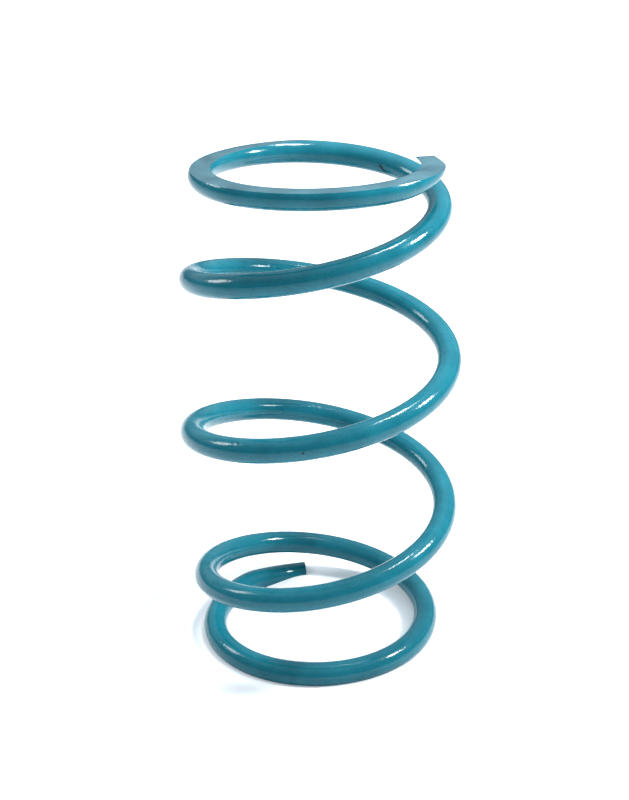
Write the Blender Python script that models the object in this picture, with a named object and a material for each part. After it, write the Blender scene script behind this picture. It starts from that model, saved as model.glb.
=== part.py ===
"""Right-hand steel coil spring with closed, ground ends and drawn-in end coils.

The spring is one formed wire.  It is built as quarter-turn stretches of that wire, cut
on vertical planes, so that the stretches can turn on each other the way the wire twists
when the spring is squeezed.  Lengths are in metres and +Z runs up the spring.  The
origin is the middle of the footprint, on the plane that the lower coil is ground to.
Places along the wire are counted in turns from the lower tip.
"""
import math

import bmesh
import bpy
import numpy as np
from mathutils import Matrix, Vector

# Wire and overall size
WIRE_DIAMETER = 0.0130
FREE_HEIGHT = 0.2707
TOTAL_TURNS = 4.754
OUT_OF_SQUARE = 0.0072          # how far the upper coil's centre stands to +X of the lower's
LOWER_TIP_ANGLE = math.radians(97.3)

# Coil radii, to the wire's centre, and the turns over which they change
LOWER_COIL_RADIUS = 0.0603
ACTIVE_COIL_RADIUS = 0.0704
UPPER_COIL_RADIUS = 0.0619
LOWER_RADIUS_TURNS = 0.666
LOWER_SPREAD_TURNS = 1.236
UPPER_RADIUS_TURNS = 0.748
UPPER_SPREAD_TURNS = 1.135

# Closed ends: turns that lie flat, and the turns over which the pitch then opens
LOWER_CLOSED_TURNS = 0.361
LOWER_LIFT_TURNS = 1.023
UPPER_CLOSED_TURNS = 0.410
UPPER_LIFT_TURNS = 0.877
COIL_TILT = 0.0025              # the open coils stand this much high on one side
COIL_TILT_ANGLE = math.radians(50.9)

# Ground ends: what grinding takes off the closed coil, and what it leaves of each tip
LOWER_GROUND_OFF = 0.0027
UPPER_GROUND_OFF = 0.0030
LOWER_TIP_THICKNESS = 0.0048
UPPER_TIP_THICKNESS = 0.0026
LOWER_TAPER_TURNS = 0.110
UPPER_TAPER_TURNS = 0.177

# The last few millimetres of wire spring out at the lower tip and in at the upper one
LOWER_TIP_FLARE = 0.0042
LOWER_FLARE_TURNS = 0.080
UPPER_TIP_CURL = 0.0054
UPPER_CURL_TURNS = 0.100

# Stretches: the end coils stay rigid, and the turns between them bend and twist
END_TURNS = 0.753
END_STRETCHES = 4
ACTIVE_STRETCHES = 13
STRETCH_GAP = 0.0003
FULL_SLOPE_DROP = 0.14          # radians that the middle stretches lie down at full travel
DROP_STRETCHES = 4              # stretches over which that drop builds up from an end

# Faceting
STEPS_PER_TURN = 48
WIRE_BEVEL_RESOLUTION = 2
CUT_OVERRUN_TURNS = 0.02
RISE_SAMPLES = 2000
WELD_DISTANCE = 0.00001

PAINT_COLOUR = (0.010, 0.150, 0.200, 1.0)
PAINT_ROUGHNESS = 0.12
PAINT_METALLIC = 0.0


def eased(x):
    """Smooth step from 0 to 1 while x goes from 0 to 1."""
    x = min(max(x, 0.0), 1.0)
    return x * x * (3.0 - 2.0 * x)


def opening(turns):
    """Share of the full pitch that the wire has at this place."""
    lower = eased((turns - LOWER_CLOSED_TURNS) / LOWER_LIFT_TURNS)
    upper = eased((TOTAL_TURNS - turns - UPPER_CLOSED_TURNS) / UPPER_LIFT_TURNS)
    return lower * upper


def summed_opening():
    """Running integral of the pitch share, at even steps along the wire."""
    places = np.linspace(0.0, TOTAL_TURNS, RISE_SAMPLES + 1)
    shares = np.array([opening(turns) for turns in places])
    steps = (shares[1:] + shares[:-1]) / 2.0 * np.diff(places)
    return places, np.concatenate([[0.0], np.cumsum(steps)])


PLACES, OPEN_TURNS = summed_opening()
WIRE_RADIUS = WIRE_DIAMETER / 2.0
LOWER_CENTRE_HEIGHT = WIRE_RADIUS - LOWER_GROUND_OFF
UPPER_CENTRE_DEPTH = WIRE_RADIUS - UPPER_GROUND_OFF
RISE = FREE_HEIGHT - LOWER_CENTRE_HEIGHT - UPPER_CENTRE_DEPTH
ACTIVE_PITCH = RISE / OPEN_TURNS[-1]


def wire_angle(turns):
    return LOWER_TIP_ANGLE + 2.0 * math.pi * turns


def coil_radius(turns):
    from_top = TOTAL_TURNS - turns
    lower = eased((turns - LOWER_RADIUS_TURNS) / LOWER_SPREAD_TURNS)
    upper = eased((from_top - UPPER_RADIUS_TURNS) / UPPER_SPREAD_TURNS)
    radius = ACTIVE_COIL_RADIUS
    radius -= (ACTIVE_COIL_RADIUS - LOWER_COIL_RADIUS) * (1.0 - lower)
    radius -= (ACTIVE_COIL_RADIUS - UPPER_COIL_RADIUS) * (1.0 - upper)
    radius += LOWER_TIP_FLARE * (1.0 - eased(turns / LOWER_FLARE_TURNS))
    radius -= UPPER_TIP_CURL * (1.0 - eased(from_top / UPPER_CURL_TURNS))
    return radius


def wire_height(turns):
    """Height of the wire's centre; at the tips it dips past the plane they are ground to."""
    from_top = TOTAL_TURNS - turns
    lower_dip = LOWER_CENTRE_HEIGHT + WIRE_RADIUS - LOWER_TIP_THICKNESS
    upper_dip = UPPER_CENTRE_DEPTH + WIRE_RADIUS - UPPER_TIP_THICKNESS
    height = LOWER_CENTRE_HEIGHT + ACTIVE_PITCH * np.interp(turns, PLACES, OPEN_TURNS)
    height -= lower_dip * (1.0 - eased(turns / LOWER_TAPER_TURNS))
    height += upper_dip * (1.0 - eased(from_top / UPPER_TAPER_TURNS))
    return height + COIL_TILT * math.sin(wire_angle(turns) - COIL_TILT_ANGLE) * opening(turns)


def leaning_centre(turns):
    """Wire centre with the lower coil's middle on the Z axis."""
    angle = wire_angle(turns)
    radius = coil_radius(turns)
    height = wire_height(turns)
    lean = OUT_OF_SQUARE * height / FREE_HEIGHT
    return np.array([radius * math.cos(angle) + lean, radius * math.sin(angle), height])


def footprint_middle():
    spots = np.array([leaning_centre(turns)[:2] for turns in PLACES])
    return np.append((spots.min(axis=0) + spots.max(axis=0)) / 2.0, 0.0)


FOOTPRINT_MIDDLE = footprint_middle()


def wire_centre(turns):
    return leaning_centre(turns) - FOOTPRINT_MIDDLE


def outward(turns):
    """Level unit vector from the coil's middle to the wire."""
    angle = wire_angle(turns)
    return np.array([math.cos(angle), math.sin(angle), 0.0])


def along(turns):
    """Level unit vector along the wire, towards the upper tip."""
    angle = wire_angle(turns)
    return np.array([-math.sin(angle), math.cos(angle), 0.0])


def cut_places():
    """Places along the wire where one stretch ends and the next begins."""
    lower = np.linspace(0.0, END_TURNS, END_STRETCHES + 1)
    middle = np.linspace(END_TURNS, TOTAL_TURNS - END_TURNS, ACTIVE_STRETCHES + 1)
    upper = np.linspace(TOTAL_TURNS - END_TURNS, TOTAL_TURNS, END_STRETCHES + 1)
    return np.concatenate([lower, middle[1:], upper[1:]])


def stretch_names():
    lower = ["lower_tip"] + ["lower_coil_%d" % k for k in range(2, END_STRETCHES + 1)]
    middle = ["active_coil_%02d" % k for k in range(1, ACTIVE_STRETCHES + 1)]
    upper = ["upper_coil_%d" % k for k in range(END_STRETCHES, 1, -1)] + ["upper_tip"]
    return lower + middle + upper


def turn_about(axis, angle):
    """Rotation matrix about a unit axis."""
    x, y, z = axis
    cross = np.array([[0.0, -z, y], [z, 0.0, -x], [-y, x, 0.0]])
    return np.eye(3) + math.sin(angle) * cross + (1.0 - math.cos(angle)) * cross @ cross


def slope_drop(k):
    """How far active stretch k, counted from 1, lies down at full travel."""
    from_end = min(k, ACTIVE_STRETCHES + 1 - k)
    return FULL_SLOPE_DROP * eased(from_end / DROP_STRETCHES)


def stretch_turn(k):
    """Rotation of active stretch k at full travel; the end coils, 0 and last, stay level."""
    if k < 1 or k > ACTIVE_STRETCHES:
        return np.eye(3)
    cuts = cut_places()
    middle = (cuts[END_STRETCHES + k - 1] + cuts[END_STRETCHES + k]) / 2.0
    return turn_about(outward(middle), -slope_drop(k))


def hinge(k):
    """Point, unit axis and full-travel angle of the hinge where active stretch k begins."""
    point = wire_centre(cut_places()[END_STRETCHES + k - 1])
    turn = stretch_turn(k - 1).T @ stretch_turn(k)
    twist = np.array([turn[2, 1] - turn[1, 2], turn[0, 2] - turn[2, 0], turn[1, 0] - turn[0, 1]])
    sine = np.linalg.norm(twist) / 2.0
    angle = math.atan2(sine, (np.trace(turn) - 1.0) / 2.0)
    return point, twist / np.linalg.norm(twist), angle


def paint():
    material = bpy.data.materials.new("teal_gloss_paint")
    material.use_nodes = True
    shader = material.node_tree.nodes["Principled BSDF"]
    shader.inputs["Base Color"].default_value = PAINT_COLOUR
    shader.inputs["Roughness"].default_value = PAINT_ROUGHNESS
    shader.inputs["Metallic"].default_value = PAINT_METALLIC
    material.diffuse_color = PAINT_COLOUR
    return material


def curve_object(name, points, dimensions, cyclic):
    curve = bpy.data.curves.new(name, "CURVE")
    curve.dimensions = dimensions
    spline = curve.splines.new("POLY")
    spline.points.add(len(points) - 1)
    for spot, point in zip(spline.points, points):
        spot.co = (*point, 1.0)
    spline.use_cyclic_u = cyclic
    shape = bpy.data.objects.new(name, curve)
    bpy.context.scene.collection.objects.link(shape)
    return shape


def solid_from_curve(shape, collection):
    """Replace a curve object by a closed mesh object of the same shape and name."""
    name = shape.name
    place = shape.matrix_world.copy()
    depsgraph = bpy.context.evaluated_depsgraph_get()
    mesh = bpy.data.meshes.new_from_object(shape.evaluated_get(depsgraph))
    bpy.data.objects.remove(shape)
    welded = bmesh.new()
    welded.from_mesh(mesh)
    bmesh.ops.remove_doubles(welded, verts=welded.verts, dist=WELD_DISTANCE)
    bmesh.ops.recalc_face_normals(welded, faces=welded.faces)
    welded.to_mesh(mesh)
    welded.free()
    mesh.name = name
    solid = bpy.data.objects.new(name, mesh)
    solid.matrix_world = place
    collection.objects.link(solid)
    return solid


def wire_stretch(name, start, end, collection):
    """Round wire from start to end, a little longer than what the cuts leave."""
    first = start - CUT_OVERRUN_TURNS
    last = end + CUT_OVERRUN_TURNS
    count = max(2, round((last - first) * STEPS_PER_TURN))
    points = [wire_centre(turns) for turns in np.linspace(first, last, count + 1)]
    shape = curve_object(name, points, "3D", False)
    shape.data.twist_mode = "Z_UP"
    shape.data.bevel_depth = WIRE_RADIUS
    shape.data.bevel_resolution = WIRE_BEVEL_RESOLUTION
    shape.data.use_fill_caps = True
    solid = solid_from_curve(shape, collection)
    solid.data.shade_smooth()
    solid.data.set_sharp_from_angle(angle=math.radians(60.0))
    return solid


def cutter_outline(start, end, start_gap, end_gap):
    """Plan view of the wedge that one stretch keeps, between its two cutting planes."""
    reach = 2.0 * WIRE_DIAMETER
    near = wire_centre(start) + along(start) * start_gap
    far = wire_centre(end) - along(end) * end_gap
    outline = [near - outward(start) * reach, near + outward(start) * reach]
    for share in (0.25, 0.5, 0.75):
        turns = start + (end - start) * share
        outline.append(wire_centre(turns) + outward(turns) * reach)
    outline.append(far + outward(end) * reach)
    outline.append(far - outward(end) * reach)
    return [(point[0], point[1], 0.0) for point in outline]


def stretch_cutter(name, outline, collection):
    """Wedge as tall as the spring: its ends are the planes that the tips are ground to."""
    shape = curve_object(name, outline, "2D", True)
    shape.data.fill_mode = "BOTH"
    shape.data.extrude = FREE_HEIGHT / 2.0
    shape.location.z = FREE_HEIGHT / 2.0
    bpy.context.view_layer.update()
    solid = solid_from_curve(shape, collection)
    solid.hide_render = True
    solid.display_type = "WIRE"
    return solid


def place_origin(solid, point, axis):
    """Put the object's origin at a point, with its local Z along an axis."""
    turn = Vector(axis).to_track_quat("Z", "Y").to_matrix().to_4x4()
    place = Matrix.Translation(point) @ turn
    solid.data.transform(place.inverted())
    solid.matrix_world = place


def hang_on(child, parent):
    place = child.matrix_world.copy()
    child.parent = parent
    child.matrix_parent_inverse = parent.matrix_world.inverted()
    child.matrix_world = place


def clear_scene():
    for item in list(bpy.data.objects):
        bpy.data.objects.remove(item)


def new_collection(name):
    collection = bpy.data.collections.new(name)
    bpy.context.scene.collection.children.link(collection)
    return collection


def build_spring():
    clear_scene()
    spring = new_collection("coil_spring")
    cutters = new_collection("stretch_cutters")
    enamel = paint()
    cuts = cut_places()
    names = stretch_names()
    solids = []
    for index, name in enumerate(names):
        start = cuts[index]
        end = cuts[index + 1]
        start_gap = STRETCH_GAP / 2.0 if index > 0 else 0.0
        end_gap = STRETCH_GAP / 2.0 if index < len(names) - 1 else 0.0
        solid = wire_stretch(name, start, end, spring)
        outline = cutter_outline(start, end, start_gap, end_gap)
        cutter = stretch_cutter("cut_" + name, outline, cutters)
        cut = solid.modifiers.new("cut", "BOOLEAN")
        cut.operation = "INTERSECT"
        cut.solver = "EXACT"
        cut.object = cutter
        solid.data.materials.append(enamel)
        solids.append(solid)

    for k in range(1, ACTIVE_STRETCHES + 2):
        point, axis, angle = hinge(k)
        hinged = solids[END_STRETCHES + k - 1]
        hinged["full_travel_twist"] = angle
        place_origin(hinged, point, axis)
    bpy.context.view_layer.update()

    last_moving = END_STRETCHES + ACTIVE_STRETCHES
    for index in range(1, len(solids)):
        lower = index < END_STRETCHES
        parent = solids[0] if lower else solids[min(index - 1, last_moving)]
        hang_on(solids[index], parent)
        bpy.context.view_layer.update()
    return solids


build_spring()
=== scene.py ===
"""Coil spring in gloss enamel, standing on a pale studio floor.

Each stretch of wire is a tube swept along the spring's centre line.  The two end coils are
rigid, and between them each piece runs from the middle of one quarter turn to the middle
of the next, over the hinge in between.
"""
import math

import bmesh
import bpy
import numpy as np
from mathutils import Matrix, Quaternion, Vector


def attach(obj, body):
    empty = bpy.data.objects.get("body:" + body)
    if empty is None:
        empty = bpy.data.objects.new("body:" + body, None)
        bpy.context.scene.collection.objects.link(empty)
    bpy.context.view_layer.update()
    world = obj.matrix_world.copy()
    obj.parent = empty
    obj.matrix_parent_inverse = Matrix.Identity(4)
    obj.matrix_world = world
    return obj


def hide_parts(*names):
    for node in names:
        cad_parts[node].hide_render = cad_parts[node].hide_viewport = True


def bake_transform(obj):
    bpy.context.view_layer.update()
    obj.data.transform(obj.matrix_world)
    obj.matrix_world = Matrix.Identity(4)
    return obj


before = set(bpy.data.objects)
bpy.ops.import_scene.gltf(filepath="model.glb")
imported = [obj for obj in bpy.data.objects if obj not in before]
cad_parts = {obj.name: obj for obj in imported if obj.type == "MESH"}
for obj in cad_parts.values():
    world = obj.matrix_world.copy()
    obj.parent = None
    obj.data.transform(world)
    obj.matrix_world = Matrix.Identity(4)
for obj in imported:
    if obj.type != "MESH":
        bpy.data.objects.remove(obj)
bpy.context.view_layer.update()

# The spring's own sizes, in metres, and places along the wire in turns from the lower tip
WIRE_DIAMETER = 0.0130
FREE_HEIGHT = 0.2707
TOTAL_TURNS = 4.754
OUT_OF_SQUARE = 0.0072
LOWER_TIP_ANGLE = math.radians(97.3)
LOWER_COIL_RADIUS = 0.0603
ACTIVE_COIL_RADIUS = 0.0704
UPPER_COIL_RADIUS = 0.0619
LOWER_RADIUS_TURNS = 0.666
LOWER_SPREAD_TURNS = 1.236
UPPER_RADIUS_TURNS = 0.748
UPPER_SPREAD_TURNS = 1.135
LOWER_CLOSED_TURNS = 0.361
LOWER_LIFT_TURNS = 1.023
UPPER_CLOSED_TURNS = 0.410
UPPER_LIFT_TURNS = 0.877
COIL_TILT = 0.0025
COIL_TILT_ANGLE = math.radians(50.9)
LOWER_GROUND_OFF = 0.0027
UPPER_GROUND_OFF = 0.0030
LOWER_TIP_THICKNESS = 0.0048
UPPER_TIP_THICKNESS = 0.0026
LOWER_TAPER_TURNS = 0.110
UPPER_TAPER_TURNS = 0.177
LOWER_TIP_FLARE = 0.0042
LOWER_FLARE_TURNS = 0.080
UPPER_TIP_CURL = 0.0054
UPPER_CURL_TURNS = 0.100
END_TURNS = 0.753
ACTIVE_STRETCHES = 13
RISE_SAMPLES = 2000

# How finely the tubes are made, and how their edges are rounded
RIGID_TURNS = 0.752             # the end coils' pieces stop just before the first hinge
RING_STEP_TURNS = 1.0 / 400.0
SEAM_STEP_TURNS = 1.0 / 7000.0  # a close ring at each seam keeps the shading even across it
BEVEL_RESOLUTION = 22
TIP_OVERRUN_TURNS = 0.01
EDGE_ROUND = 0.00045
TIP_ROUND = 0.0005
ROUND_SEGMENTS = 3
WELD_DISTANCE = 0.000001
SMOOTH_ANGLE = math.radians(28.0)
FACING_TOLERANCE = 0.0001       # how far from 1 the cosine of a flat face's direction may be
LEVEL_TOLERANCE = 0.00002
UPWARD = Vector((0.0, 0.0, 1.0))

# Places of the finishes in the list of every piece's materials
GROUND_FINISH = 1
RIM_FINISH = 2


def eased(x):
    x = min(max(x, 0.0), 1.0)
    return x * x * (3.0 - 2.0 * x)


def opening(turns):
    lower = eased((turns - LOWER_CLOSED_TURNS) / LOWER_LIFT_TURNS)
    upper = eased((TOTAL_TURNS - turns - UPPER_CLOSED_TURNS) / UPPER_LIFT_TURNS)
    return lower * upper


def summed_opening():
    places = np.linspace(0.0, TOTAL_TURNS, RISE_SAMPLES + 1)
    shares = np.array([opening(turns) for turns in places])
    steps = (shares[1:] + shares[:-1]) / 2.0 * np.diff(places)
    return places, np.concatenate([[0.0], np.cumsum(steps)])


PLACES, OPEN_TURNS = summed_opening()
WIRE_RADIUS = WIRE_DIAMETER / 2.0
LOWER_CENTRE_HEIGHT = WIRE_RADIUS - LOWER_GROUND_OFF
UPPER_CENTRE_DEPTH = WIRE_RADIUS - UPPER_GROUND_OFF
ACTIVE_PITCH = (FREE_HEIGHT - LOWER_CENTRE_HEIGHT - UPPER_CENTRE_DEPTH) / OPEN_TURNS[-1]


def wire_angle(turns):
    return LOWER_TIP_ANGLE + 2.0 * math.pi * turns


def coil_radius(turns):
    from_top = TOTAL_TURNS - turns
    lower = eased((turns - LOWER_RADIUS_TURNS) / LOWER_SPREAD_TURNS)
    upper = eased((from_top - UPPER_RADIUS_TURNS) / UPPER_SPREAD_TURNS)
    radius = ACTIVE_COIL_RADIUS
    radius -= (ACTIVE_COIL_RADIUS - LOWER_COIL_RADIUS) * (1.0 - lower)
    radius -= (ACTIVE_COIL_RADIUS - UPPER_COIL_RADIUS) * (1.0 - upper)
    radius += LOWER_TIP_FLARE * (1.0 - eased(turns / LOWER_FLARE_TURNS))
    radius -= UPPER_TIP_CURL * (1.0 - eased(from_top / UPPER_CURL_TURNS))
    return radius


def wire_height(turns):
    from_top = TOTAL_TURNS - turns
    lower_dip = LOWER_CENTRE_HEIGHT + WIRE_RADIUS - LOWER_TIP_THICKNESS
    upper_dip = UPPER_CENTRE_DEPTH + WIRE_RADIUS - UPPER_TIP_THICKNESS
    height = LOWER_CENTRE_HEIGHT + ACTIVE_PITCH * np.interp(turns, PLACES, OPEN_TURNS)
    height -= lower_dip * (1.0 - eased(turns / LOWER_TAPER_TURNS))
    height += upper_dip * (1.0 - eased(from_top / UPPER_TAPER_TURNS))
    return height + COIL_TILT * math.sin(wire_angle(turns) - COIL_TILT_ANGLE) * opening(turns)


def leaning_centre(turns):
    angle = wire_angle(turns)
    radius = coil_radius(turns)
    height = wire_height(turns)
    lean = OUT_OF_SQUARE * height / FREE_HEIGHT
    return np.array([radius * math.cos(angle) + lean, radius * math.sin(angle), height])


def footprint_middle():
    spots = np.array([leaning_centre(turns)[:2] for turns in PLACES])
    return np.append((spots.min(axis=0) + spots.max(axis=0)) / 2.0, 0.0)


FOOTPRINT_MIDDLE = footprint_middle()


def wire_centre(turns):
    return leaning_centre(turns) - FOOTPRINT_MIDDLE


# ---------------------------------------------------------------- wire pieces

def select_only(item):
    bpy.ops.object.select_all(action="DESELECT")
    item.select_set(True)
    bpy.context.view_layer.objects.active = item


def ring_places(start, end):
    count = max(2, round((end - start) / RING_STEP_TURNS))
    places = list(np.linspace(start, end, count + 1))
    return [start, start + SEAM_STEP_TURNS] + places[1:-1] + [end - SEAM_STEP_TURNS, end]


def swept_wire(name, places, finishes):
    """Round tube through the wire's centre line, made a closed mesh."""
    curve = bpy.data.curves.new(name, "CURVE")
    curve.dimensions = "3D"
    spline = curve.splines.new("POLY")
    spline.points.add(len(places) - 1)
    for spot, turns in zip(spline.points, places):
        spot.co = (*wire_centre(turns), 1.0)
    curve.twist_mode = "Z_UP"
    curve.bevel_depth = WIRE_RADIUS
    curve.bevel_resolution = BEVEL_RESOLUTION
    curve.use_fill_caps = True
    wire = bpy.data.objects.new(name, curve)
    bpy.context.scene.collection.objects.link(wire)
    select_only(wire)
    bpy.ops.object.convert(target="MESH")
    wire = bpy.context.view_layer.objects.active
    bpy.ops.object.mode_set(mode="EDIT")
    bpy.ops.mesh.select_all(action="SELECT")
    bpy.ops.mesh.remove_doubles(threshold=WELD_DISTANCE)
    bpy.ops.mesh.normals_make_consistent(inside=False)
    bpy.ops.object.mode_set(mode="OBJECT")
    for material in finishes:
        wire.data.materials.append(material)
    return wire


def cut_away(wire, point, outward, reach=1.0):
    """Cut everything past a plane off a closed mesh, within reach of a point, and fill the cut."""
    select_only(wire)
    bpy.ops.object.mode_set(mode="EDIT")
    bpy.ops.mesh.select_mode(type="FACE")
    bpy.ops.mesh.select_all(action="DESELECT")
    mesh = bmesh.from_edit_mesh(wire.data)
    for face in mesh.faces:
        face.select = all((corner.co - Vector(point)).length < reach for corner in face.verts)
    mesh.select_flush_mode()
    bmesh.update_edit_mesh(wire.data)
    bpy.ops.mesh.bisect(plane_co=point, plane_no=outward, use_fill=True,
                        clear_outer=True, threshold=WELD_DISTANCE)
    bpy.ops.mesh.select_all(action="SELECT")
    bpy.ops.mesh.normals_make_consistent(inside=False)
    bpy.ops.object.mode_set(mode="OBJECT")


def lies_flat(normal, middle, direction, level):
    """Whether a face looks along a direction and lies at a level along it."""
    facing = abs(normal.dot(direction) - 1.0) < FACING_TOLERANCE
    return facing and abs(middle.dot(direction) - level) < LEVEL_TOLERANCE


def round_rim(wire, direction, level, width):
    """Round the edge all round the flat face that looks along a direction at a level."""
    select_only(wire)
    bpy.ops.object.mode_set(mode="EDIT")
    bpy.ops.mesh.select_mode(type="EDGE")
    bpy.ops.mesh.select_all(action="DESELECT")
    mesh = bmesh.from_edit_mesh(wire.data)
    for edge in mesh.edges:
        flat = [lies_flat(face.normal, face.calc_center_median(), direction, level)
                for face in edge.link_faces]
        edge.select = len(flat) == 2 and flat[0] != flat[1]
    mesh.select_flush_mode()
    bmesh.update_edit_mesh(wire.data)
    bpy.ops.mesh.bevel(offset=width, segments=ROUND_SEGMENTS, affect="EDGES", clamp_overlap=True)
    mesh = bmesh.from_edit_mesh(wire.data)
    for face in mesh.faces:
        if face.select:
            face.material_index = RIM_FINISH
    bmesh.update_edit_mesh(wire.data)
    bpy.ops.object.mode_set(mode="OBJECT")


def finish_wire(wire, level=None, direction=None):
    """Shade smooth, keep real edges sharp, and give the ground face its own finish."""
    select_only(wire)
    bpy.ops.object.shade_smooth_by_angle(angle=SMOOTH_ANGLE)
    if level is None:
        return
    for face in wire.data.polygons:
        if lies_flat(face.normal, face.center, direction, level):
            face.material_index = GROUND_FINISH


def middle_of_stretch(k):
    active = (TOTAL_TURNS - 2.0 * END_TURNS) / ACTIVE_STRETCHES
    return END_TURNS + active * (k - 0.5)


def tip_direction(turns, towards_upper):
    angle = wire_angle(turns)
    sign = 1.0 if towards_upper else -1.0
    return Vector((-math.sin(angle), math.cos(angle), 0.0)) * sign


def lower_end(finishes):
    wire = swept_wire("lower_end_coil", ring_places(-TIP_OVERRUN_TURNS, RIGID_TURNS), finishes)
    tip = Vector(wire_centre(0.0))
    square = tip_direction(0.0, False)
    cut_away(wire, tip, square, WIRE_DIAMETER)
    cut_away(wire, (0.0, 0.0, 0.0), -UPWARD)
    round_rim(wire, square, tip.dot(square), TIP_ROUND)
    round_rim(wire, -UPWARD, 0.0, EDGE_ROUND)
    finish_wire(wire, 0.0, -UPWARD)
    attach(wire, "lower_end")
    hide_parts("lower_tip", *["lower_coil_%d" % k for k in (2, 3, 4)])


def upper_end(finishes):
    start = TOTAL_TURNS - RIGID_TURNS
    wire = swept_wire("upper_end_coil", ring_places(start, TOTAL_TURNS + TIP_OVERRUN_TURNS), finishes)
    tip = Vector(wire_centre(TOTAL_TURNS))
    square = tip_direction(TOTAL_TURNS, True)
    cut_away(wire, tip, square, WIRE_DIAMETER)
    cut_away(wire, (0.0, 0.0, FREE_HEIGHT), UPWARD)
    round_rim(wire, square, tip.dot(square), TIP_ROUND)
    round_rim(wire, UPWARD, FREE_HEIGHT, EDGE_ROUND)
    finish_wire(wire, FREE_HEIGHT, UPWARD)
    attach(wire, "upper_end")
    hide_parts("upper_tip", *["upper_coil_%d" % k for k in (2, 3, 4)])


def active_wire(k, finishes):
    """Wire over hinge k, from the middle of the stretch below it to that of the one above."""
    start = RIGID_TURNS if k == 1 else middle_of_stretch(k - 1)
    last = k == ACTIVE_STRETCHES + 1
    end = TOTAL_TURNS - RIGID_TURNS if last else middle_of_stretch(k)
    wire = swept_wire("active_coil_wire_%02d" % k, ring_places(start, end), finishes)
    finish_wire(wire)
    if not last:
        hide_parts("active_coil_%02d" % k)
    near = Vector(wire_centre(start))
    far = Vector(wire_centre(end))
    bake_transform(wire)


# ---------------------------------------------------------------- finishes

# Sizes of the patterns, as features to a metre
WAVE_SCALE = 130.0
PEEL_SCALE = 420.0
GRAIN_SCALE = 2200.0
SPECK_SCALE = 260.0
BROAD_MOTTLE_SCALE = 60.0
FINE_MOTTLE_SCALE = 1100.0

# How the patterns show
SPECK_EDGE = 0.10               # as shares of a speck's cell
SPECK_CORE = 0.05
SPECK_CHOICE = 0.86             # the share of cells that stay clean
SPECK_AMOUNT = 0.8
SPECK_SHADE = 0.25
BROAD_MOTTLE_SHARE = 0.55
FINE_MOTTLE_SHARE = 0.45
MOTTLE_LOW = 0.35
MOTTLE_HIGH = 0.65
SHEEN_LOW = 0.80
SHEEN_HIGH = 1.25
ENAMEL_IOR = 1.45

# Dark marks on the wire: pits in the paint, a short dark slit, and painted shade on the inner
# lower side of the upper tip.  A place is in turns along the wire and degrees around it from its top.
# A row's step changes by its bend each time, and a mark's reach is in metres.
# One dark colour for the pits, the slit and the painted shade at the upper tip
SCAR_AND_SHADE_COLOUR = (0.0, 0.016, 0.024, 1.0)
SCAR_AND_SHADE_CORE = 0.5                 # the share of a mark's reach that is fully dark
SLIT_START = (3.873, 268.0)
SLIT_STEP = (-0.003, -9.0)
SLIT_BEND = (0.0, 0.0)
SLIT_REACHES = (0.0011, 0.0012, 0.0012, 0.0010)
# Painted shade: a row of dark marks on the inner lower side of the upper tip, where its end lies in
# shadow
TIP_SHADE_START = (4.753, 230.0)
TIP_SHADE_STEP = (-0.007, -6.0)
TIP_SHADE_BEND = (-0.001, 2.0)
TIP_SHADE_REACHES = (0.0014, 0.0013, 0.0012, 0.0010)
MIDDLE_COIL_SMALL_PIT = ((2.384, 33.0), 0.0007)
MIDDLE_COIL_LARGE_PIT = ((2.460, 90.0), 0.0009)
TOP_COIL_LARGE_PIT = ((4.268, 24.0), 0.0010)
TOP_COIL_SMALL_PIT = ((4.624, 30.0), 0.0009)
PITS = (MIDDLE_COIL_SMALL_PIT, MIDDLE_COIL_LARGE_PIT, TOP_COIL_LARGE_PIT, TOP_COIL_SMALL_PIT)


def add_node(tree, kind, at, **values):
    item = tree.nodes.new(kind)
    item.location = at
    for name, value in values.items():
        setattr(item, name, value)
    return item


def new_group(name, inputs, outputs):
    group = bpy.data.node_groups.new(name, "ShaderNodeTree")
    for label, value in inputs:
        socket = group.interface.new_socket(name=label, in_out="INPUT", socket_type="NodeSocketFloat")
        socket.default_value = value
    for label, kind in outputs:
        group.interface.new_socket(name=label, in_out="OUTPUT", socket_type=kind)
    start = add_node(group, "NodeGroupInput", (-900, 0))
    end = add_node(group, "NodeGroupOutput", (700, 0))
    return group, start, end


def scaled(group, source, factor, at):
    item = add_node(group, "ShaderNodeMath", at, operation="MULTIPLY")
    group.links.new(source, item.inputs[0])
    if hasattr(factor, "is_output"):
        group.links.new(factor, item.inputs[1])
    else:
        item.inputs[1].default_value = factor
    return item.outputs[0]


def summed(group, first, second, at):
    item = add_node(group, "ShaderNodeMath", at, operation="ADD")
    group.links.new(first, item.inputs[0])
    group.links.new(second, item.inputs[1])
    return item.outputs[0]


def noise(group, place, scale, detail, at, roughness=0.5):
    item = add_node(group, "ShaderNodeTexNoise", at)
    item.inputs["Scale"].default_value = scale
    item.inputs["Detail"].default_value = detail
    item.inputs["Roughness"].default_value = roughness
    group.links.new(place, item.inputs["Vector"])
    return item.outputs["Fac"]


def orange_peel_group():
    """Height in metres of sprayed enamel: long waves, peel and a fine grain."""
    inputs = (("Wave Height", 0.00004), ("Peel Height", 0.00003), ("Grain Height", 0.000004))
    group, start, end = new_group("sprayed_enamel_relief", inputs, (("Height", "NodeSocketFloat"),))
    place = add_node(group, "ShaderNodeTexCoord", (-900, 300)).outputs["Object"]
    waves = noise(group, place, WAVE_SCALE, 1.0, (-600, 300))
    peel = noise(group, place, PEEL_SCALE, 2.0, (-600, 0))
    grain = noise(group, place, GRAIN_SCALE, 2.0, (-600, -300))
    tall = scaled(group, waves, start.outputs["Wave Height"], (-300, 300))
    mid = scaled(group, peel, start.outputs["Peel Height"], (-300, 0))
    fine = scaled(group, grain, start.outputs["Grain Height"], (-300, -300))
    total = summed(group, summed(group, tall, mid, (0, 200)), fine, (200, 0))
    group.links.new(total, end.inputs["Height"])
    return group


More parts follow.
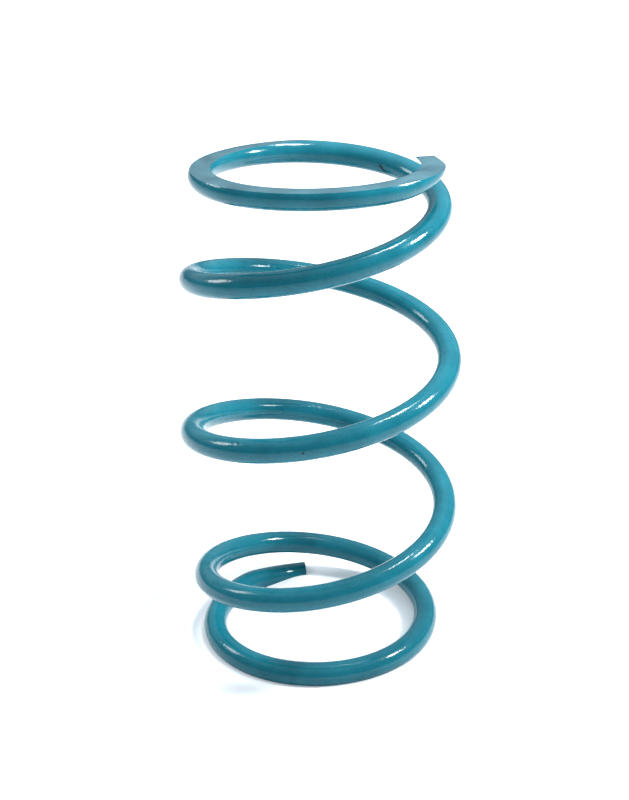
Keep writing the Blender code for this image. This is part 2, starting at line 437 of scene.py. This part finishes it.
def speck_group():
    """Mask of sparse pits and dust nibs in the paint, 1 on a speck."""
    inputs = (("Amount", 0.5),)
    outputs = (("Speck", "NodeSocketFloat"),)
    group, start, end = new_group("paint_specks", inputs, outputs)
    place = add_node(group, "ShaderNodeTexCoord", (-900, 300)).outputs["Object"]
    cells = add_node(group, "ShaderNodeTexVoronoi", (-600, 200), feature="F1")
    cells.inputs["Scale"].default_value = SPECK_SCALE
    group.links.new(place, cells.inputs["Vector"])
    dot = add_node(group, "ShaderNodeMapRange", (-300, 200))
    dot.inputs["From Min"].default_value = SPECK_EDGE
    dot.inputs["From Max"].default_value = SPECK_CORE
    group.links.new(cells.outputs["Distance"], dot.inputs["Value"])
    chosen = add_node(group, "ShaderNodeMath", (-300, -100), operation="GREATER_THAN")
    chosen.inputs[1].default_value = SPECK_CHOICE
    pick = add_node(group, "ShaderNodeSeparateColor", (-450, -100))
    group.links.new(cells.outputs["Color"], pick.inputs[0])
    group.links.new(pick.outputs[0], chosen.inputs[0])
    both = scaled(group, dot.outputs[0], chosen.outputs[0], (0, 100))
    group.links.new(scaled(group, both, start.outputs["Amount"], (200, 100)), end.inputs["Speck"])
    return group


def scar_and_shade_group(scars_and_shade):
    """Mask of single dark marks (pits in the paint, a slit and painted shade at the upper tip), each
    a place and the distance it reaches.
    """
    group, start, end = new_group("paint_scars_and_shade", (("Depth", 1.0),), (("Scar And Shade", "NodeSocketFloat"),))
    place = add_node(group, "ShaderNodeTexCoord", (-900, 300)).outputs["Object"]
    mask = None
    for row, (spot, reach) in enumerate(scars_and_shade):
        apart = add_node(group, "ShaderNodeVectorMath", (-600, -200 * row), operation="DISTANCE")
        group.links.new(place, apart.inputs[0])
        apart.inputs[1].default_value = spot
        fall = add_node(group, "ShaderNodeMapRange", (-400, -200 * row),
                        interpolation_type="SMOOTHSTEP")
        fall.inputs["From Min"].default_value = reach
        fall.inputs["From Max"].default_value = reach * SCAR_AND_SHADE_CORE
        group.links.new(apart.outputs["Value"], fall.inputs["Value"])
        if mask is None:
            mask = fall.outputs[0]
        else:
            mask = summed(group, mask, fall.outputs[0], (-200, -200 * row))
    group.links.new(scaled(group, mask, start.outputs["Depth"], (300, 0)), end.inputs["Scar And Shade"])
    return group


def mottle_group():
    """Slow drift of shade over the enamel, from 0 to 1."""
    outputs = (("Mottle", "NodeSocketFloat"),)
    group, start, end = new_group("enamel_mottle", (("Contrast", 1.0),), outputs)
    place = add_node(group, "ShaderNodeTexCoord", (-900, 300)).outputs["Object"]
    broad = noise(group, place, BROAD_MOTTLE_SCALE, 3.0, (-600, 200), 0.6)
    fine = noise(group, place, FINE_MOTTLE_SCALE, 4.0, (-600, -100), 0.7)
    broad_share = scaled(group, broad, BROAD_MOTTLE_SHARE, (-300, 200))
    fine_share = scaled(group, fine, FINE_MOTTLE_SHARE, (-300, -100))
    mixed = summed(group, broad_share, fine_share, (-100, 0))
    spread = add_node(group, "ShaderNodeMapRange", (100, 0))
    spread.inputs["From Min"].default_value = MOTTLE_LOW
    spread.inputs["From Max"].default_value = MOTTLE_HIGH
    group.links.new(mixed, spread.inputs["Value"])
    mottle = scaled(group, spread.outputs[0], start.outputs["Contrast"], (400, 0))
    group.links.new(mottle, end.inputs["Mottle"])
    return group


def placed_group(tree, group, at, **values):
    item = add_node(tree, "ShaderNodeGroup", at, node_tree=group)
    for label, value in values.items():
        item.inputs[label.replace("_", " ")].default_value = value
    return item


def mixed_colour(tree, mask, first, second, at):
    item = add_node(tree, "ShaderNodeMix", at, data_type="RGBA")
    tree.links.new(mask, item.inputs[0])
    for socket, value in ((item.inputs[6], first), (item.inputs[7], second)):
        if hasattr(value, "is_output"):
            tree.links.new(value, socket)
        else:
            socket.default_value = value
    return item.outputs[2]


def enamel(name, groups, deep, light, rough, gloss, waves, peel, grain):
    """Teal stoving enamel with mottle, specks and a sprayed surface."""
    relief, specks, mottle, scars_and_shade = groups
    material = bpy.data.materials.new(name)
    material.use_nodes = True
    tree = material.node_tree
    shader = tree.nodes["Principled BSDF"]
    shader.inputs["Metallic"].default_value = 0.0
    shader.inputs["IOR"].default_value = ENAMEL_IOR
    shader.inputs["Specular IOR Level"].default_value = gloss
    drift = placed_group(tree, mottle, (-900, 300), Contrast=1.0)
    paint = mixed_colour(tree, drift.outputs["Mottle"], deep, light, (-600, 300))
    dots = placed_group(tree, specks, (-900, 0), Amount=SPECK_AMOUNT)
    marks = placed_group(tree, scars_and_shade, (-900, -600), Depth=1.0)
    dark = tuple(channel * SPECK_SHADE for channel in deep[:3]) + (1.0,)
    dotted = mixed_colour(tree, dots.outputs["Speck"], paint, dark, (-450, 300))
    # Darkens the pits, the slit and the painted shade at the upper tip
    shown = mixed_colour(tree, marks.outputs["Scar And Shade"], dotted, SCAR_AND_SHADE_COLOUR, (-300, 300))
    tree.links.new(shown, shader.inputs["Base Color"])
    sheen = add_node(tree, "ShaderNodeMapRange", (-600, 0))
    sheen.inputs["To Min"].default_value = rough * SHEEN_LOW
    sheen.inputs["To Max"].default_value = rough * SHEEN_HIGH
    tree.links.new(drift.outputs["Mottle"], sheen.inputs["Value"])
    tree.links.new(sheen.outputs[0], shader.inputs["Roughness"])
    height = placed_group(tree, relief, (-900, -300), Wave_Height=waves,
                          Peel_Height=peel, Grain_Height=grain)
    bump = add_node(tree, "ShaderNodeBump", (-300, -300))
    bump.inputs["Strength"].default_value = 1.0
    bump.inputs["Distance"].default_value = 1.0
    tree.links.new(height.outputs["Height"], bump.inputs["Height"])
    tree.links.new(bump.outputs["Normal"], shader.inputs["Normal"])
    return material


def surface_point(turns, degrees):
    """Point on the wire's surface, at an angle around it from its top towards its outer side."""
    around = math.radians(degrees)
    centre = Vector(wire_centre(turns))
    along = (Vector(wire_centre(turns + SEAM_STEP_TURNS)) - centre).normalized()
    upward = (UPWARD - along * UPWARD.dot(along)).normalized()
    return centre + (upward * math.cos(around) + along.cross(upward) * math.sin(around)) * WIRE_RADIUS


def row_of_marks(start, step, bend, reaches):
    """Marks one after another along the wire, each a point on it and how far it reaches."""
    turns, degrees = start
    marks = []
    for k, reach in enumerate(reaches):
        marks.append((surface_point(turns, degrees), reach))
        turns += step[0] + k * bend[0]
        degrees += step[1] + k * bend[1]
    return marks


# Pits in the paint, a slit, and painted shade at the upper tip
def marks_and_painted_shade():
    slit = row_of_marks(SLIT_START, SLIT_STEP, SLIT_BEND, SLIT_REACHES)
    tip_shade = row_of_marks(TIP_SHADE_START, TIP_SHADE_STEP, TIP_SHADE_BEND, TIP_SHADE_REACHES)
    pits = [(surface_point(*place), reach) for place, reach in PITS]
    return slit + tip_shade + pits


def make_finishes():
    groups = (orange_peel_group(), speck_group(), mottle_group(), scar_and_shade_group(marks_and_painted_shade()))
    gloss = enamel("gloss_teal_enamel", groups,
                   deep=(0.003, 0.111, 0.152, 1.0), light=(0.009, 0.163, 0.220, 1.0),
                   rough=0.13, gloss=0.34, waves=0.00009, peel=0.00010, grain=0.000012)
    ground = enamel("ground_face_enamel", groups,
                    deep=(0.018, 0.075, 0.104, 1.0), light=(0.070, 0.175, 0.215, 1.0),
                    rough=0.34, gloss=0.34, waves=0.00004, peel=0.00005, grain=0.000010)
    rim = enamel("worn_rim_enamel", groups,
                 deep=(0.0002, 0.004, 0.006, 1.0), light=(0.001, 0.030, 0.042, 1.0),
                 rough=0.75, gloss=0.10, waves=0.00003, peel=0.00003, grain=0.000004)
    return gloss, ground, rim


# ---------------------------------------------------------------- studio

# Camera: place in metres, angles in radians, lens and sensor in millimetres, and its
# shift as shares of the picture's longer side
CAMERA_HEIGHT = 0.4347
CAMERA_DISTANCE = 0.7445
CAMERA_PITCH = 0.3107
CAMERA_ROLL = -0.0334
CAMERA_LENS = 65.54
CAMERA_SHIFT = (0.0062, -0.1243)
SENSOR_WIDTH = 36.0
CLIP_START = 0.05
CLIP_END = 50.0

# Room: its strength in front of and behind the spring, and its shade from bottom to top
ROOM_LIGHT = 1.15
BACK_LIGHT = 2.2
FRONT_EDGE = -0.4
BACK_EDGE = 0.8
LOWEST_SHADE_AT = 0.02
LOWEST_SHADE = (0.05, 0.07, 0.09, 1.0)
MIDDLE_SHADES = ((0.14, 0.08), (0.24, 0.30), (0.60, 0.26))
MIDDLE_TINT = (0.9, 0.96, 1.0)
HIGHEST_SHADE_AT = 0.95
HIGHEST_SHADE = (0.80, 0.88, 0.95, 1.0)

# Paper: its width and the distances in metres between which its glow grows
FLOOR_WIDTH = 12.0
PAPER_COLOUR = (0.90, 0.92, 0.94, 1.0)
PAPER_GLOW_COLOUR = (0.92, 0.96, 1.0, 1.0)
PAPER_ROUGHNESS = 0.7
NEAR_GLOW = 0.14
FAR_GLOW = 0.95
GLOW_START = 0.12
GLOW_END = 0.60
BOUNCE_SHARE = 0.35     # the share of the paper's glow that reaches the spring


def make_camera():
    data = bpy.data.cameras.new("studio_camera")
    camera = bpy.data.objects.new("studio_camera", data)
    bpy.context.scene.collection.objects.link(camera)
    camera.location = (-FOOTPRINT_MIDDLE[0], -CAMERA_DISTANCE, CAMERA_HEIGHT)
    data.lens = CAMERA_LENS
    data.sensor_width = SENSOR_WIDTH
    data.shift_x, data.shift_y = CAMERA_SHIFT
    data.clip_start = CLIP_START
    data.clip_end = CLIP_END
    camera.rotation_mode = "QUATERNION"
    aim = Quaternion((1.0, 0.0, 0.0), math.pi / 2.0 - CAMERA_PITCH)
    camera.rotation_quaternion = aim @ Quaternion(UPWARD, CAMERA_ROLL)
    bpy.context.scene.camera = camera


def softbox(name, place, size, power):
    """Area light facing the middle of the spring."""
    data = bpy.data.lights.new(name, "AREA")
    data.shape = "RECTANGLE"
    data.size, data.size_y = size
    data.energy = power
    light = bpy.data.objects.new(name, data)
    bpy.context.scene.collection.objects.link(light)
    light.location = place
    towards = Vector(place) - Vector((0.0, 0.0, FREE_HEIGHT / 2.0))
    light.rotation_mode = "QUATERNION"
    light.rotation_quaternion = towards.to_track_quat("Z", "Y")
    light.visible_camera = False


def make_room():
    """Grey-white room, brighter behind the spring and overhead, seen as plain white."""
    world = bpy.data.worlds.new("white_room")
    bpy.context.scene.world = world
    world.use_nodes = True
    tree = world.node_tree
    room = tree.nodes["Background"]
    heading = add_node(tree, "ShaderNodeTexCoord", (-900, 0))
    parts = add_node(tree, "ShaderNodeSeparateXYZ", (-700, 0))
    tree.links.new(heading.outputs["Generated"], parts.inputs[0])
    walls = add_node(tree, "ShaderNodeValToRGB", (-500, 100))
    ramp = walls.color_ramp
    ramp.elements[0].position = LOWEST_SHADE_AT
    ramp.elements[0].color = LOWEST_SHADE
    ramp.elements[1].position = HIGHEST_SHADE_AT
    ramp.elements[1].color = HIGHEST_SHADE
    for at, shade in MIDDLE_SHADES:
        stop = ramp.elements.new(at)
        stop.color = tuple(shade * tint for tint in MIDDLE_TINT) + (1.0,)
    tree.links.new(parts.outputs["Z"], walls.inputs[0])
    tree.links.new(walls.outputs[0], room.inputs["Color"])
    far_side = add_node(tree, "ShaderNodeMapRange", (-500, -200))
    far_side.inputs["From Min"].default_value = FRONT_EDGE
    far_side.inputs["From Max"].default_value = BACK_EDGE
    far_side.inputs["To Min"].default_value = ROOM_LIGHT
    far_side.inputs["To Max"].default_value = BACK_LIGHT
    tree.links.new(parts.outputs["Y"], far_side.inputs["Value"])
    tree.links.new(far_side.outputs[0], room.inputs["Strength"])
    paper_sweep = add_node(tree, "ShaderNodeBackground", (0, -200))
    paper_sweep.inputs["Color"].default_value = (1.0, 1.0, 1.0, 1.0)
    rays = add_node(tree, "ShaderNodeLightPath", (0, 300))
    shown = add_node(tree, "ShaderNodeMixShader", (200, 0))
    tree.links.new(rays.outputs["Is Camera Ray"], shown.inputs[0])
    tree.links.new(room.outputs[0], shown.inputs[1])
    tree.links.new(paper_sweep.outputs[0], shown.inputs[2])
    tree.links.new(shown.outputs[0], tree.nodes["World Output"].inputs["Surface"])


def white_paper():
    """Paper lit from below, dimmer round the spring so that its soft shadow shows."""
    paper = bpy.data.materials.new("white_paper")
    paper.use_nodes = True
    sheet = paper.node_tree
    shader = sheet.nodes["Principled BSDF"]
    shader.inputs["Base Color"].default_value = PAPER_COLOUR
    shader.inputs["Roughness"].default_value = PAPER_ROUGHNESS
    shader.inputs["Emission Color"].default_value = PAPER_GLOW_COLOUR
    place = add_node(sheet, "ShaderNodeTexCoord", (-900, 0))
    spread = add_node(sheet, "ShaderNodeVectorMath", (-700, 0), operation="LENGTH")
    sheet.links.new(place.outputs["Object"], spread.inputs[0])
    fade = add_node(sheet, "ShaderNodeMapRange", (-500, 0), interpolation_type="SMOOTHSTEP")
    fade.inputs["From Min"].default_value = GLOW_START
    fade.inputs["From Max"].default_value = GLOW_END
    fade.inputs["To Min"].default_value = NEAR_GLOW
    fade.inputs["To Max"].default_value = FAR_GLOW
    sheet.links.new(spread.outputs["Value"], fade.inputs["Value"])
    rays = add_node(sheet, "ShaderNodeLightPath", (-500, -300))
    bounce = add_node(sheet, "ShaderNodeMapRange", (-300, -300))
    bounce.inputs["To Min"].default_value = BOUNCE_SHARE
    sheet.links.new(rays.outputs["Is Camera Ray"], bounce.inputs["Value"])
    glow = scaled(sheet, fade.outputs[0], bounce.outputs[0], (-100, 0))
    sheet.links.new(glow, shader.inputs["Emission Strength"])
    return paper


def make_studio():
    make_room()
    bpy.context.scene.view_settings.view_transform = "Standard"
    bpy.ops.mesh.primitive_plane_add(size=FLOOR_WIDTH, location=(0.0, 0.0, 0.0))
    floor = bpy.context.view_layer.objects.active
    floor.name = "studio_floor"
    floor.data.materials.append(white_paper())
    softbox("right_softbox", place=(0.58, -0.06, 0.58), size=(0.15, 0.15), power=6.0)
    softbox("top_softbox", place=(0.27, 0.05, 1.05), size=(0.22, 0.22), power=8.0)
    softbox("left_softbox", place=(-0.95, 0.32, 0.75), size=(0.32, 0.32), power=3.8)


make_camera()
finishes = make_finishes()
lower_end(finishes)
for hinge in range(1, ACTIVE_STRETCHES + 2):
    active_wire(hinge, finishes)
upper_end(finishes)
make_studio()
